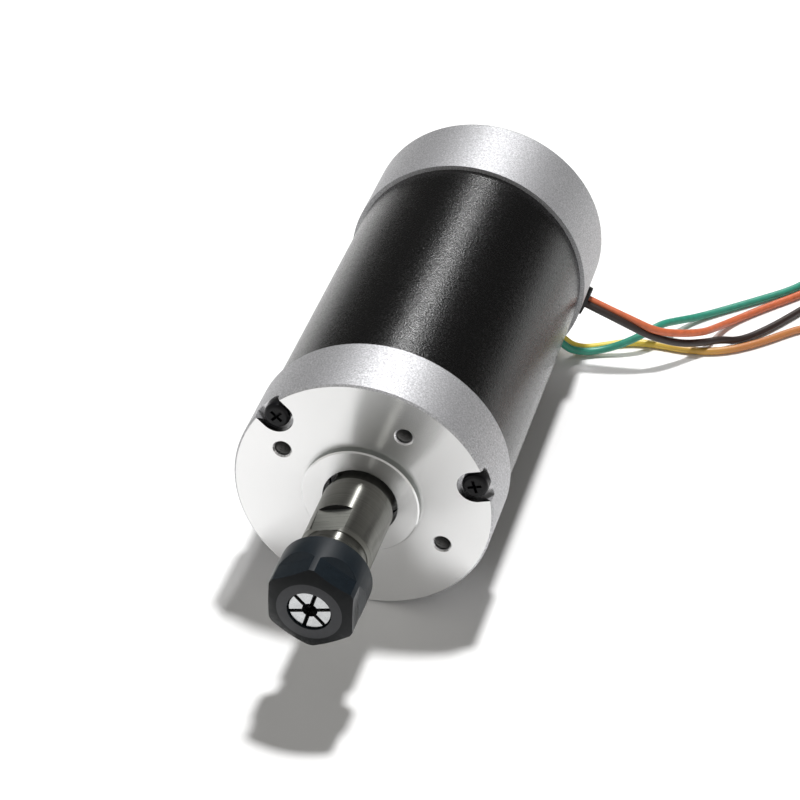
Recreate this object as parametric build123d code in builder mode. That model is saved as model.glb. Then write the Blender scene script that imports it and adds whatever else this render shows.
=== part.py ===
from build123d import *
import os
from math import cos, degrees, pi, radians, sin, sqrt, tan

# Brushless motor spindle with an ER11 collet nose. Millimetres. The axis of rotation is Y: the nose
# points to -Y, the mounting face is the plane y = 0 and the leads leave the rear cap on the +X side.

# ---------------------------------------------------------------- housing
cap_step = 1.0  # both end caps stand this far proud of the tube
bell_length = 15.0  # front bell, from the mounting face to the tube
tube_length = 72.6  # tube showing between the caps
rear_cap_length = 20.0
tube_d = 53.0
tube_wall = 4.5
spigot_length = 3.5  # register of each cap inside the tube
spigot_wall = 2.5
hub_wall = 3.0  # metal round the rear bearing's seat
hub_lip = 1.0  # the hub's reach in front of the rear bearing
register_gap = 0.02  # radial play of a spigot in the tube
front_edge_chamfer = 0.4
rear_edge_fillet = 1.2
cut_over = 0.5  # a cut runs this far past the surface it opens

pilot_d = 25.0
pilot_height = 1.8
pilot_chamfer = 0.3
nose_hole_gap = 0.5  # radial room round the shaft's collar in the pilot boss

mount_pcd = 38.0
mount_count = 4
mount_start = -27.5  # angle of the first tapped hole, from +X towards +Z
mount_hole_d = 3.4  # M4, at its minor diameter
mount_hole_depth = 9.0
mount_hole_chamfer = 0.35

screw_count = 3
screw_inset = 2.0  # screw axes below the tube's surface, in its wall
screw_start = 17.0
screw_d = 3.0
screw_head_d = 5.5
screw_head_height = 2.1
screw_head_crown = 0.8  # rounding of the pan head's rim
screw_grip = 7.2  # thread that bites in the tube
tap_overrun = 0.8  # tapped hole past the screw's end
screw_hole_gap = 0.2  # clearance of a screw in the cap
screw_thread_gap = 0.02
pocket_d = 7.3  # pocket round each head, open at the rim
pocket_depth = 2.2
rear_screw_inset = 2.7  # the rear screws are smaller and their pockets are closed
rear_screw_d = 2.5
rear_screw_head_d = 4.5
rear_pocket_d = 4.9
recess_span = 3.0  # Phillips cross: tip to tip, width and depth
recess_width = 0.62
recess_depth = 1.1

# ---------------------------------------------------------------- bearings: bore, outside, width
front_bore_d, front_outer_d, front_width = 12.0, 28.0, 8.0
rear_bore_d, rear_outer_d, rear_width = 10.0, 26.0, 8.0
front_ball_d, front_ball_count = 4.76, 8
rear_ball_d, rear_ball_count = 4.7, 7
ring_thickness_share = 0.29  # each ring's share of the radial height
ball_play = 0.03
cage_thickness = 1.1
cage_rim = 0.55  # cage metal beside each ball
cage_pocket_gap = 0.08
shield_thickness = 0.35
shield_inset = 0.25
shield_gap = 0.15
front_bearing_y = 4.0  # front face of the front bearing
front_seat_relief = 0.6  # recess in front of the ring that turns
rear_bearing_depth = 2.4  # front face of the rear bearing, from the rear cap's edge

circlip_thickness = 1.0
circlip_play = 0.05
circlip_groove_depth = 0.7
circlip_height = 1.7
circlip_gap_angle = 40.0
spring_thickness = 0.3
spring_space = 1.6  # between the rear outer ring and the floor of its seat
spring_width = 2.6
spring_play = 0.15
shaft_end_room = 3.0  # pocket behind the shaft's end
shaft_end_gap = 2.0
seat_floor_clearance = 3.0  # opening in the rear seat's floor, beyond the shaft's journal

# ---------------------------------------------------------------- stator
front_winding_room = 13.0  # from the tube's front end to the core
rear_winding_room = 19.6
tooth_share = 0.2955  # a tooth's length, as a share of the tube's bore radius
slot_count = 12
tooth_width = 3.0
tooth_tip_height = 0.9
tooth_tip_gap = 2.2  # opening between two tips
yoke_width = 3.0
tooth_root = 0.5  # each tooth's overlap with the yoke
insulator_thickness = 1.2
insulator_wall = 1.0
insulator_height = 6.5  # from the core's end face to the wall's edge
insulator_inset = 0.4  # from the tube's bore
coil_side_gap = 0.65  # between neighbouring coils at their inner ends
coil_gap = 0.25  # liner between coil and tooth
coil_end_gap = 0.05
coil_radial_gap = 0.5
board_thickness = 1.2
board_bore_d = 27.0
board_pad_d = 2.4
board_pad_inset = 1.5
board_inset = 0.6  # from the tube's bore

# ---------------------------------------------------------------- rotor and shaft
air_gap = 0.55
sleeve_thickness = 0.25
magnet_thickness = 2.4
magnet_count = 8
magnet_arc = 41.0
rotor_overhang = 1.0  # core past the stator at each end
rotor_core_wall = 3.4
end_ring_thickness = 1.5
shaft_d = 15.0  # the collar in front of the boss
collar_rear_y = -3.8
neck_step = 0.5  # the neck stands this far above the front bearing's journal
shaft_front_y = -19.9  # end of the ground part
shaft_end_chamfer = 0.7
shaft_groove_depth = 0.4
flats_across = 13.0
flats_start_y = -12.9
flats_angle = 105.5
relief_d = 13.2
relief_length = 1.6
nose_thread_d = 14.0
thread_chamfer = 0.4
thread_gap = 0.05

# ---------------------------------------------------------------- ER11 collet and nut
nut_rear_y = -25.3
nut_length = 12.1
nut_d = 19.0
nut_flats = 17.0
nut_sides = 6
nut_flat_angle = 58.3
nut_flat_length = 5.4  # full-depth flat, from the front face
nut_runout_length = 1.6
nut_rear_chamfer = 0.45
nut_face_d = 13.3
nut_cone_length = 1.15
nut_hole_d = 9.0
nut_lip_d = 9.2
nut_lip_width = 0.8
nut_cavity_d = 12.6
nut_thread_length = 7.0
nut_lead_in = 0.5
head_room = 0.1  # between the collet's head and the nut

collet_length = 18.0
collet_recess = 0.5  # collet face behind the nut's face
collet_face_d = 8.4
collet_head_d = 10.1
collet_groove_d = 8.7
collet_shoulder_d = 11.5
collet_bore_d = 3.175
collet_grip = 11.0
collet_relief_d = 4.4
front_cone_angle = 30.0
taper_angle = 8.0
head_land = 0.28
groove_ramp = 0.3
groove_width = 1.0
shoulder_ramp = 0.85
shoulder_land = 0.2
slot_width = 0.45
collet_slots = 6
collet_slot_angle = 13.1
front_slot_length = 14.0
rear_slot_length = 13.0
nose_end_gap = 1.7  # collet shoulder in front of the spindle's end
seat_gap = 0.02
cone_gap = 0.05
shank_bore_d = 7.2
shank_bore_length = 12.0
socket_run_out = 0.8  # socket past the collet's rear end
drill_point_angle = 118.0

# ---------------------------------------------------------------- leads
lead_d = 1.8
lead_pair_pitch = 2.1
exit_depth = 10.4  # the leads' exits, from the rear cap's edge
exit_angles = {"upper": -22.0, "lower": -48.0}
grommet_d = 5.2
grommet_flange_d = 6.8
grommet_flange = 0.8
spot_face_d = 7.2
spot_face_depth = 0.3
lead_length = 300.0
grommet_start_r = 24.5  # a lead starts this far from the spindle axis
coil_out, coil_first_along, coil_pitch = 69.5, 14.0, 28.0
coil_mid_r = 10.0
coil_turn_r = 12.7  # centreline of the outer turn
coil_eye_r = 6.4
tip_d = 1.1
tip_length = 5.0
tip_turn = 135.0  # a tip's heading, behind its outward radius

# ---------------------------------------------------------------- derived
tube_r = tube_d / 2
cap_r = tube_r + cap_step
tube_bore_r = tube_r - tube_wall
screw_r = tube_r - screw_inset
rear_screw_r = tube_r - rear_screw_inset
tube_y = bell_length
rear_cap_y = tube_y + tube_length
rear_bearing_y = rear_cap_y + rear_bearing_depth
exit_y = rear_cap_y + exit_depth
floor_z = -cap_r
lead_z = floor_z + lead_d / 2
body_end_y = rear_cap_y + rear_cap_length
seat_end_y = rear_bearing_y + rear_width + spring_space
nut_face_y = nut_rear_y - nut_length
collet_face_y = nut_face_y + collet_recess
cone_length = (collet_head_d - collet_face_d) / 2 / tan(radians(front_cone_angle))
head_end = cone_length + head_land
groove_start = head_end + groove_ramp
groove_end = groove_start + groove_width
shoulder_start = groove_end + shoulder_ramp
taper_start = shoulder_start + shoulder_land
nose_end_y = collet_face_y + taper_start + nose_end_gap
stator_y = tube_y + front_winding_room
stator_length = tube_length - front_winding_room - rear_winding_room
stator_bore_r = tube_bore_r * (1 - tooth_share) - yoke_width
sleeve_r = stator_bore_r - air_gap
magnet_r = sleeve_r - sleeve_thickness
rotor_core_r = magnet_r - magnet_thickness
rotor_seat_r = rotor_core_r - rotor_core_wall
rotor_y = stator_y - rotor_overhang
rotor_length = stator_length + 2 * rotor_overhang

os.makedirs("parts", exist_ok=True)


def save(part, name):
    part.label = name
    export_step(part, f"parts/{name}.step")


def station(y):
    """Plane square to the spindle axis: local x is +X, local y is +Z and local z points to the nose."""
    return Plane.XZ.offset(-y)


def across(angle):
    """Unit vector square to the spindle axis, angle degrees from +X towards +Z."""
    return Vector(cos(radians(angle)), 0, sin(radians(angle)))


def rotary(points):
    """Revolve a closed outline of (radius, y) points about the spindle axis."""
    with BuildSketch(Plane.XY) as outline:
        with BuildLine():
            Polyline(*points, close=True)
        make_face()
    revolve(outline.sketch, axis=Axis.Y)


def tube_solid(r_in, r_out, y, length):
    rotary([(r_in, y), (r_out, y), (r_out, y + length), (r_in, y + length)])


# ---------------------------------------------------------------- front bell
bell_floor_y = front_bearing_y + front_width
groove_y = bell_floor_y + circlip_play
seat_r = front_outer_d / 2
nose_hole_r = shaft_d / 2 + nose_hole_gap
seat_relief_r = seat_r - ring_thickness_share * (front_outer_d - front_bore_d) / 2
with BuildPart() as front_bell:
    rotary([
        (nose_hole_r, -pilot_height),
        (pilot_d / 2, -pilot_height),
        (pilot_d / 2, 0),
        (cap_r, 0),
        (cap_r, bell_length),
        (tube_bore_r - register_gap, bell_length),
        (tube_bore_r - register_gap, bell_length + spigot_length),
        (tube_bore_r - spigot_wall, bell_length + spigot_length),
        (tube_bore_r - spigot_wall, bell_length),
        (seat_r, bell_length),
        (seat_r, groove_y + circlip_thickness + circlip_play),
        (seat_r + circlip_groove_depth, groove_y + circlip_thickness + circlip_play),
        (seat_r + circlip_groove_depth, bell_floor_y),
        (seat_r, bell_floor_y),
        (seat_r, front_bearing_y),
        (seat_relief_r, front_bearing_y),
        (seat_relief_r, front_bearing_y - front_seat_relief),
        (nose_hole_r, front_bearing_y - front_seat_relief),
    ])
    rims = front_bell.edges().filter_by(GeomType.CIRCLE)
    chamfer(rims.filter_by_position(Axis.Y, -pilot_height, -pilot_height).sort_by(SortBy.RADIUS)[-1],
            pilot_chamfer)
    chamfer(rims.filter_by_position(Axis.Y, 0, 0).sort_by(SortBy.RADIUS)[-1], front_edge_chamfer)
    with Locations(station(0)):
        with PolarLocations(mount_pcd / 2, mount_count, start_angle=mount_start):
            Hole(mount_hole_d / 2, depth=mount_hole_depth)
    mouths = front_bell.edges().filter_by(GeomType.CIRCLE).filter_by_position(Axis.Y, 0, 0)
    chamfer(mouths.group_by(SortBy.RADIUS)[0], mount_hole_chamfer)
    with Locations(station(0)):
        with PolarLocations(screw_r, screw_count, start_angle=screw_start):
            CounterBoreHole(screw_d / 2 + screw_hole_gap, pocket_d / 2, pocket_depth, depth=bell_length)
    pocket_reach = cap_r - screw_r + cut_over
    with BuildSketch(station(0)):
        with PolarLocations(screw_r + pocket_reach / 2, screw_count, start_angle=screw_start):
            Rectangle(pocket_reach, pocket_d)
    extrude(amount=-pocket_depth, mode=Mode.SUBTRACT)
save(front_bell.part, "front_bell")

# ---------------------------------------------------------------- tube
tapped_depth = screw_grip + tap_overrun
with BuildPart() as stator_tube:
    tube_solid(tube_bore_r, tube_r, tube_y, tube_length)
    for face_y, circle_r, thread_d, depth in (
        (tube_y, screw_r, screw_d, -tapped_depth),
        (rear_cap_y, rear_screw_r, rear_screw_d, tapped_depth),
    ):
        with BuildSketch(station(face_y)):
            with PolarLocations(circle_r, screw_count, start_angle=screw_start):
                Circle(thread_d / 2 + screw_thread_gap)
        extrude(amount=depth, mode=Mode.SUBTRACT)
save(stator_tube.part, "stator_tube")

# ---------------------------------------------------------------- rear cap
hub_r = rear_outer_d / 2 + hub_wall
seat_floor_r = rear_bore_d / 2 + seat_floor_clearance
with BuildPart() as rear_cap:
    rotary([
        (0, body_end_y),
        (cap_r, body_end_y),
        (cap_r, rear_cap_y),
        (tube_bore_r - register_gap, rear_cap_y),
        (tube_bore_r - register_gap, rear_cap_y - spigot_length),
        (tube_bore_r - spigot_wall, rear_cap_y - spigot_length),
        (tube_bore_r - spigot_wall, seat_end_y + shaft_end_room),
        (hub_r, seat_end_y + shaft_end_room),
        (hub_r, rear_bearing_y - hub_lip),
        (rear_outer_d / 2, rear_bearing_y - hub_lip),
        (rear_outer_d / 2, seat_end_y),
        (seat_floor_r, seat_end_y),
        (seat_floor_r, seat_end_y + shaft_end_room),
        (0, seat_end_y + shaft_end_room),
    ])
    rims = rear_cap.edges().filter_by(GeomType.CIRCLE)
    fillet(rims.filter_by_position(Axis.Y, body_end_y, body_end_y).sort_by(SortBy.RADIUS)[-1],
           rear_edge_fillet)
    with BuildSketch(station(body_end_y)):
        with PolarLocations(rear_screw_r, screw_count, start_angle=screw_start):
            Circle(rear_pocket_d / 2)
    extrude(amount=pocket_depth, mode=Mode.SUBTRACT)
    with BuildSketch(station(body_end_y)):
        with PolarLocations(rear_screw_r, screw_count, start_angle=screw_start):
            Circle(rear_screw_d / 2 + screw_hole_gap)
    extrude(amount=rear_cap_length, mode=Mode.SUBTRACT)
    for angle in exit_angles.values():
        outward = across(angle)
        with BuildSketch(Plane(Vector(0, exit_y, 0) + outward * cap_r, x_dir=(0, 1, 0), z_dir=outward)):
            Circle(grommet_d / 2)
        extrude(amount=-(cap_r - hub_r - cut_over), mode=Mode.SUBTRACT)
        with BuildSketch(Plane(Vector(0, exit_y, 0) + outward * cap_r, x_dir=(0, 1, 0), z_dir=outward)):
            Circle(spot_face_d / 2)
        extrude(amount=-spot_face_depth, mode=Mode.SUBTRACT)
save(rear_cap.part, "rear_cap")


# ---------------------------------------------------------------- cap screws
def cap_screws(seat_y, towards_nose, shank, circle_r, thread_d, head_d):
    """Three pan-head screws whose heads seat on the plane y = seat_y; shank points into the motor."""
    out = 1 if towards_nose else -1
    with BuildPart() as screws:
        with BuildSketch(station(seat_y)):
            with PolarLocations(circle_r, screw_count, start_angle=screw_start):
                Circle(head_d / 2)
        extrude(amount=out * screw_head_height)
        top_y = seat_y - out * screw_head_height
        fillet(screws.edges().filter_by_position(Axis.Y, top_y, top_y), screw_head_crown)
        with BuildSketch(station(seat_y)):
            with PolarLocations(circle_r, screw_count, start_angle=screw_start):
                Circle(thread_d / 2)
        extrude(amount=-out * shank)
        with BuildSketch(station(top_y)):
            with PolarLocations(circle_r, screw_count, start_angle=screw_start):
                Rectangle(recess_span, recess_width)
                Rectangle(recess_width, recess_span)
        extrude(amount=-out * recess_depth, mode=Mode.SUBTRACT)
    return screws


front_shank = bell_length - pocket_depth + screw_grip
rear_shank = rear_cap_length - pocket_depth + screw_grip
front_set = cap_screws(pocket_depth, True, front_shank, screw_r, screw_d, screw_head_d)
rear_seat_y = body_end_y - pocket_depth
rear_set = cap_screws(rear_seat_y, False, rear_shank, rear_screw_r, rear_screw_d, rear_screw_head_d)
save(front_set.part, "front_cap_screws")
save(rear_set.part, "rear_cap_screws")


# ---------------------------------------------------------------- bearings
def bearing(name, bore_d, outer_d, width, y, ball_d, balls):
    """A shielded deep-groove ball bearing whose front face lies at y."""
    radial = (outer_d - bore_d) / 2
    inner_r = bore_d / 2 + ring_thickness_share * radial
    outer_r = outer_d / 2 - ring_thickness_share * radial
    pitch_r = (inner_r + outer_r) / 2
    mid_y = y + width / 2
    with BuildPart() as inner:
        tube_solid(bore_d / 2, inner_r, y, width)
        with Locations(station(mid_y)):
            Torus(pitch_r, ball_d / 2 + ball_play, mode=Mode.SUBTRACT)
    save(inner.part, f"{name}_bearing_inner_ring")
    with BuildPart() as outer:
        tube_solid(outer_r, outer_d / 2, y, width)
        with Locations(station(mid_y)):
            Torus(pitch_r, ball_d / 2 + ball_play, mode=Mode.SUBTRACT)
    save(outer.part, f"{name}_bearing_outer_ring")
    with BuildPart() as ball_set:
        with Locations(station(mid_y)):
            with PolarLocations(pitch_r, balls):
                Sphere(ball_d / 2)
    save(ball_set.part, f"{name}_bearing_balls")
    cage_width = ball_d + 2 * cage_rim
    with BuildPart() as cage:
        cage_r = pitch_r - cage_thickness / 2
        tube_solid(cage_r, cage_r + cage_thickness, mid_y - cage_width / 2, cage_width)
        with Locations(station(mid_y)):
            with PolarLocations(pitch_r, balls):
                Cylinder(ball_d / 2 + cage_pocket_gap, 2 * ball_d, rotation=(0, 90, 0), mode=Mode.SUBTRACT)
    save(cage.part, f"{name}_bearing_cage")
    with BuildPart() as shields:
        for face_y in (y + shield_inset, y + width - shield_inset - shield_thickness):
            tube_solid(inner_r + shield_gap, outer_r, face_y, shield_thickness)
    save(shields.part, f"{name}_bearing_shields")


bearing("front", front_bore_d, front_outer_d, front_width, front_bearing_y, front_ball_d, front_ball_count)
bearing("rear", rear_bore_d, rear_outer_d, rear_width, rear_bearing_y, rear_ball_d, rear_ball_count)


# ---------------------------------------------------------------- circlips and preload spring
def circlip(r_in, r_out, y, opening):
    """A flat snap ring with a gap of opening degrees at its top."""
    with BuildPart() as ring:
        tube_solid(r_in, r_out, y, circlip_thickness)
        side = 2 * r_out * sin(radians(opening / 2))
        rise = 2 * r_out * cos(radians(opening / 2))
        with BuildSketch(station(y + circlip_thickness)):
            with BuildLine():
                Polyline((0, 0), (-side, rise), (side, rise), close=True)
            make_face()
        extrude(amount=circlip_thickness, mode=Mode.SUBTRACT)
    return ring


bell_ring_r = seat_r + circlip_groove_depth - circlip_play
save(circlip(bell_ring_r - circlip_height - circlip_groove_depth, bell_ring_r, groove_y,
             circlip_gap_angle).part, "bell_circlip")
shaft_groove_y = rear_bearing_y + rear_width + circlip_play
shaft_groove_r = rear_bore_d / 2 - shaft_groove_depth
save(circlip(shaft_groove_r + circlip_play, shaft_groove_r + circlip_height, shaft_groove_y,
             circlip_gap_angle * 2).part, "shaft_circlip")

spring_outer_r = rear_outer_d / 2 - spring_play
spring_inner_r = spring_outer_r - spring_width
spring_back_y = rear_bearing_y + rear_width + spring_space - spring_thickness
with BuildPart() as preload_spring:
    rotary([
        (spring_outer_r, rear_bearing_y + rear_width),
        (spring_outer_r, rear_bearing_y + rear_width + spring_thickness),
        (spring_inner_r, spring_back_y + spring_thickness),
        (spring_inner_r, spring_back_y),
    ])
save(preload_spring.part, "preload_spring")

# ---------------------------------------------------------------- stator
yoke_r = tube_bore_r - yoke_width
tip_r = stator_bore_r + tooth_tip_height
tip_angle = 360 / slot_count - degrees(tooth_tip_gap / stator_bore_r)


def tooth_profile(yoke_outer_r):
    """The stator's ring of teeth, drawn on the current sketch."""
    Circle(yoke_outer_r)
    Circle(yoke_r, mode=Mode.SUBTRACT)
    with PolarLocations((stator_bore_r + yoke_r) / 2, slot_count):
        Rectangle(yoke_r - stator_bore_r + 2 * tooth_root, tooth_width)
    half = radians(tip_angle / 2)
    with PolarLocations((stator_bore_r + tip_r) / 2, slot_count):
        Rectangle(tooth_tip_height, 2 * tip_r * sin(half))
    Circle(stator_bore_r, mode=Mode.SUBTRACT)


with BuildPart() as stator_core:
    with BuildSketch(station(stator_y)):
        tooth_profile(tube_bore_r)
    extrude(amount=-stator_length)
save(stator_core.part, "stator_core")


def end_insulator(face_y, outward):
    """Moulded insulator on one end of the core; outward is 1 towards the nose and -1 to the rear."""
    with BuildPart() as cover:
        with BuildSketch(station(face_y)):
            tooth_profile(tube_bore_r - insulator_inset)
        extrude(amount=outward * insulator_thickness)
        with BuildSketch(station(face_y)):
            Circle(yoke_r + insulator_wall)
            Circle(yoke_r, mode=Mode.SUBTRACT)
        extrude(amount=outward * insulator_height)
    return cover


save(end_insulator(stator_y, 1).part, "front_insulator")
save(end_insulator(stator_y + stator_length, -1).part, "rear_insulator")

window_width = tooth_width + 2 * coil_gap
window_length = stator_length + 2 * (insulator_thickness + coil_end_gap)
coil_low_r = tip_r + coil_radial_gap
coil_width = 2 * coil_low_r * tan(pi / slot_count) - coil_side_gap
coil_thickness = (coil_width - window_width) / 2
coil_high_r = sqrt((yoke_r - coil_gap) ** 2 - (coil_width / 2) ** 2)
with BuildPart() as stator_coils:
    with Locations(station(stator_y + stator_length / 2)):
        with PolarLocations((coil_low_r + coil_high_r) / 2, slot_count):
            Box(coil_high_r - coil_low_r, coil_width, window_length + 2 * coil_thickness)
            Box(coil_high_r - coil_low_r + cut_over, window_width, window_length, mode=Mode.SUBTRACT)
save(stator_coils.part, "stator_coils")

board_y = stator_y + stator_length + insulator_height
with BuildPart() as lead_board:
    tube_solid(board_bore_d / 2, tube_bore_r - board_inset, board_y, board_thickness)
    with BuildSketch(station(board_y)):
        with PolarLocations(yoke_r - board_pad_inset, slot_count):
            Circle(board_pad_d / 2)
    extrude(amount=-board_thickness, mode=Mode.SUBTRACT)
save(lead_board.part, "lead_board")

# ---------------------------------------------------------------- rotor
with BuildPart() as rotor_core:
    tube_solid(rotor_seat_r, rotor_core_r, rotor_y, rotor_length)
save(rotor_core.part, "rotor_core")

half_space = radians((360 / magnet_count - magnet_arc) / 2)
with BuildPart() as rotor_magnets:
    with BuildSketch(station(stator_y)):
        Circle(magnet_r)
        Circle(rotor_core_r, mode=Mode.SUBTRACT)
        with PolarLocations((magnet_r + rotor_core_r) / 2, magnet_count):
            Rectangle(2 * magnet_thickness, 2 * magnet_r * sin(half_space), mode=Mode.SUBTRACT)
    extrude(amount=-stator_length)
save(rotor_magnets.part, "rotor_magnets")

with BuildPart() as rotor_sleeve:
    tube_solid(magnet_r, sleeve_r, rotor_y, rotor_length)
save(rotor_sleeve.part, "rotor_sleeve")

with BuildPart() as rotor_end_rings:
    for ring_y in (rotor_y - end_ring_thickness, rotor_y + rotor_length):
        tube_solid(rotor_seat_r, magnet_r, ring_y, end_ring_thickness)
save(rotor_end_rings.part, "rotor_end_rings")


# ---------------------------------------------------------------- spindle shaft
def taper_r(y):
    """Radius of the socket at y, a seat gap larger than the collet in it."""
    taper_start_y = collet_face_y + taper_start
    return collet_shoulder_d / 2 - (y - taper_start_y) * tan(radians(taper_angle)) + seat_gap


journal_r = front_bore_d / 2
neck_r = journal_r + neck_step
relief_y = shaft_front_y - relief_length
socket_end_y = collet_face_y + collet_length + socket_run_out
bore_end_y = socket_end_y + shank_bore_length
drill_depth = shank_bore_d / 2 / tan(radians(drill_point_angle / 2))
shaft_rear_y = rear_bearing_y + rear_width + shaft_end_gap
with BuildPart() as spindle_shaft:
    rotary([
        (taper_r(nose_end_y), nose_end_y),
        (nose_thread_d / 2 - thread_chamfer, nose_end_y),
        (nose_thread_d / 2, nose_end_y + thread_chamfer),
        (nose_thread_d / 2, relief_y - thread_chamfer),
        (relief_d / 2, relief_y),
        (relief_d / 2, shaft_front_y),
        (shaft_d / 2 - shaft_end_chamfer, shaft_front_y),
        (shaft_d / 2, shaft_front_y + shaft_end_chamfer),
        (shaft_d / 2, collar_rear_y),
        (neck_r, collar_rear_y),
        (neck_r, front_bearing_y),
        (journal_r, front_bearing_y),
        (journal_r, front_bearing_y + front_width),
        (rotor_seat_r, front_bearing_y + front_width),
        (rotor_seat_r, rear_bearing_y),
        (rear_bore_d / 2, rear_bearing_y),
        (rear_bore_d / 2, rear_bearing_y + rear_width),
        (shaft_groove_r, rear_bearing_y + rear_width),
        (shaft_groove_r, shaft_groove_y + circlip_thickness + circlip_play),
        (rear_bore_d / 2, shaft_groove_y + circlip_thickness + circlip_play),
        (rear_bore_d / 2, shaft_rear_y),
        (0, shaft_rear_y),
        (0, bore_end_y + drill_depth),
        (shank_bore_d / 2, bore_end_y),
        (shank_bore_d / 2, socket_end_y),
        (taper_r(socket_end_y), socket_end_y),
    ])
    flat_depth = shaft_d / 2 - flats_across / 2
    with Locations(station((flats_start_y + shaft_front_y) / 2)):
        with PolarLocations(flats_across / 2 + flat_depth, 2, start_angle=flats_angle):
            Box(2 * flat_depth, shaft_d, flats_start_y - shaft_front_y, mode=Mode.SUBTRACT)
save(spindle_shaft.part, "spindle_shaft")

# ---------------------------------------------------------------- collet
with BuildPart() as collet:
    rear_y = collet_face_y + collet_length
    rear_r = collet_shoulder_d / 2 - (collet_length - taper_start) * tan(radians(taper_angle))
    rotary([
        (collet_bore_d / 2, collet_face_y),
        (collet_face_d / 2, collet_face_y),
        (collet_head_d / 2, collet_face_y + cone_length),
        (collet_head_d / 2, collet_face_y + head_end),
        (collet_groove_d / 2, collet_face_y + groove_start),
        (collet_groove_d / 2, collet_face_y + groove_end),
        (collet_shoulder_d / 2, collet_face_y + shoulder_start),
        (collet_shoulder_d / 2, collet_face_y + taper_start),
        (rear_r, rear_y),
        (collet_relief_d / 2, rear_y),
        (collet_relief_d / 2, collet_face_y + collet_grip),
        (collet_bore_d / 2, collet_face_y + collet_grip),
    ])
    for first_y, length, angle in (
        (collet_face_y, front_slot_length, collet_slot_angle),
        (rear_y - rear_slot_length, rear_slot_length, collet_slot_angle + 180 / collet_slots),
    ):
        with Locations(station(first_y + length / 2)):
            with PolarLocations(collet_shoulder_d / 4, collet_slots, start_angle=angle):
                Box(collet_shoulder_d / 2 + 2 * cut_over, slot_width, length, mode=Mode.SUBTRACT)
save(collet.part, "collet")

# ---------------------------------------------------------------- nut
lip_mid_y = collet_face_y + (groove_start + groove_end) / 2
cone_rise = nut_hole_d / 2 - cone_gap - collet_face_d / 2
inner_cone_y = collet_face_y + cone_rise / tan(radians(front_cone_angle))
head_room_r = collet_head_d / 2 + head_room
inner_cone_end_y = inner_cone_y + (head_room_r - nut_hole_d / 2) / tan(radians(front_cone_angle))
thread_end_y = nut_rear_y - nut_thread_length
bore_r = nose_thread_d / 2 + thread_gap
with BuildPart() as collet_nut:
    rotary([
        (bore_r + nut_lead_in, nut_rear_y),
        (nut_d / 2 - nut_rear_chamfer, nut_rear_y),
        (nut_d / 2, nut_rear_y - nut_rear_chamfer),
        (nut_d / 2, nut_face_y + nut_cone_length),
        (nut_face_d / 2, nut_face_y),
        (nut_hole_d / 2, nut_face_y),
        (nut_hole_d / 2, inner_cone_y),
        (head_room_r, inner_cone_end_y),
        (head_room_r, lip_mid_y - nut_lip_width / 2),
        (nut_lip_d / 2, lip_mid_y - nut_lip_width / 2),
        (nut_lip_d / 2, lip_mid_y + nut_lip_width / 2),
        (nut_cavity_d / 2, lip_mid_y + nut_lip_width / 2),
        (nut_cavity_d / 2, thread_end_y),
        (bore_r, thread_end_y),
        (bore_r, nut_rear_y - nut_lead_in),
    ])
    flat_r, reach = nut_flats / 2, nut_d
    flat_end_y = nut_face_y + nut_flat_length
    slope = nut_runout_length / (nut_d / 2 - flat_r)
    rise = nut_d / 2 - flat_r + cut_over
    for k in range(nut_sides):
        radial = across(nut_flat_angle + 360 / nut_sides * k)
        with BuildSketch(Plane((0, 0, 0), x_dir=radial, z_dir=radial.cross(Vector(0, 1, 0)))):
            with BuildLine():
                Polyline(
                    (flat_r, nut_face_y - cut_over),
                    (flat_r, flat_end_y),
                    (flat_r + rise, flat_end_y + rise * slope),
                    (reach, flat_end_y + rise * slope),
                    (reach, nut_face_y - cut_over),
                    close=True,
                )
            make_face()
        extrude(amount=nut_d / 2, both=True, mode=Mode.SUBTRACT)
save(collet_nut.part, "collet_nut")


# ---------------------------------------------------------------- grommets
wall_inner_r = tube_bore_r - spigot_wall
for name, angle in exit_angles.items():
    outward = across(angle)
    seat = Vector(0, exit_y, 0) + outward * (cap_r - spot_face_depth)
    with BuildPart() as grommet:
        with BuildSketch(Plane(seat, x_dir=(0, 1, 0), z_dir=outward)):
            Circle(grommet_flange_d / 2)
        extrude(amount=grommet_flange + spot_face_depth)
        with BuildSketch(Plane(seat, x_dir=(0, 1, 0), z_dir=outward)):
            Circle(grommet_d / 2)
        extrude(amount=-(cap_r - spot_face_depth - wall_inner_r))
        with BuildSketch(Plane(seat, x_dir=(0, 1, 0), z_dir=outward)):
            with GridLocations(lead_pair_pitch, 0, 2, 1):
                Circle(lead_d / 2)
        extrude(amount=cap_r, both=True, mode=Mode.SUBTRACT)
    save(grommet.part, f"{name}_grommet")

# ---------------------------------------------------------------- leads
# Each route starts in its grommet and ends on the outer turn of the lead's own coil. A coil is wound
# clockwise seen from above; the colours below are listed in the order of their coils along Y.
coil_names = ("yellow", "black", "red", "green")
coil_centres = {
    name: (cap_r + coil_out, exit_y + coil_first_along + row * coil_pitch)
    for row, name in enumerate(coil_names)
}
join_angles = {"yellow": 80.0, "black": 130.0, "red": 165.0, "green": 170.0}


def on_coil(name, radius, angle):
    """A point of the named coil, at the height of its wire's centre."""
    centre_x, centre_y = coil_centres[name]
    return (centre_x + radius * cos(radians(angle)), centre_y + radius * sin(radians(angle)), lead_z)


def from_exit(exit_name, side, radius):
    """A point on a lead's line out of its grommet, at a radius from the spindle axis."""
    point = across(exit_angles[exit_name]) * radius
    return (point.X, exit_y + side * lead_pair_pitch / 2, point.Z)


def above(out, along, height):
    """A route point: out from the cap's side, along from the exits, and its height above the floor run."""
    return (cap_r + out, exit_y + along, lead_z + height)


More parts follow.
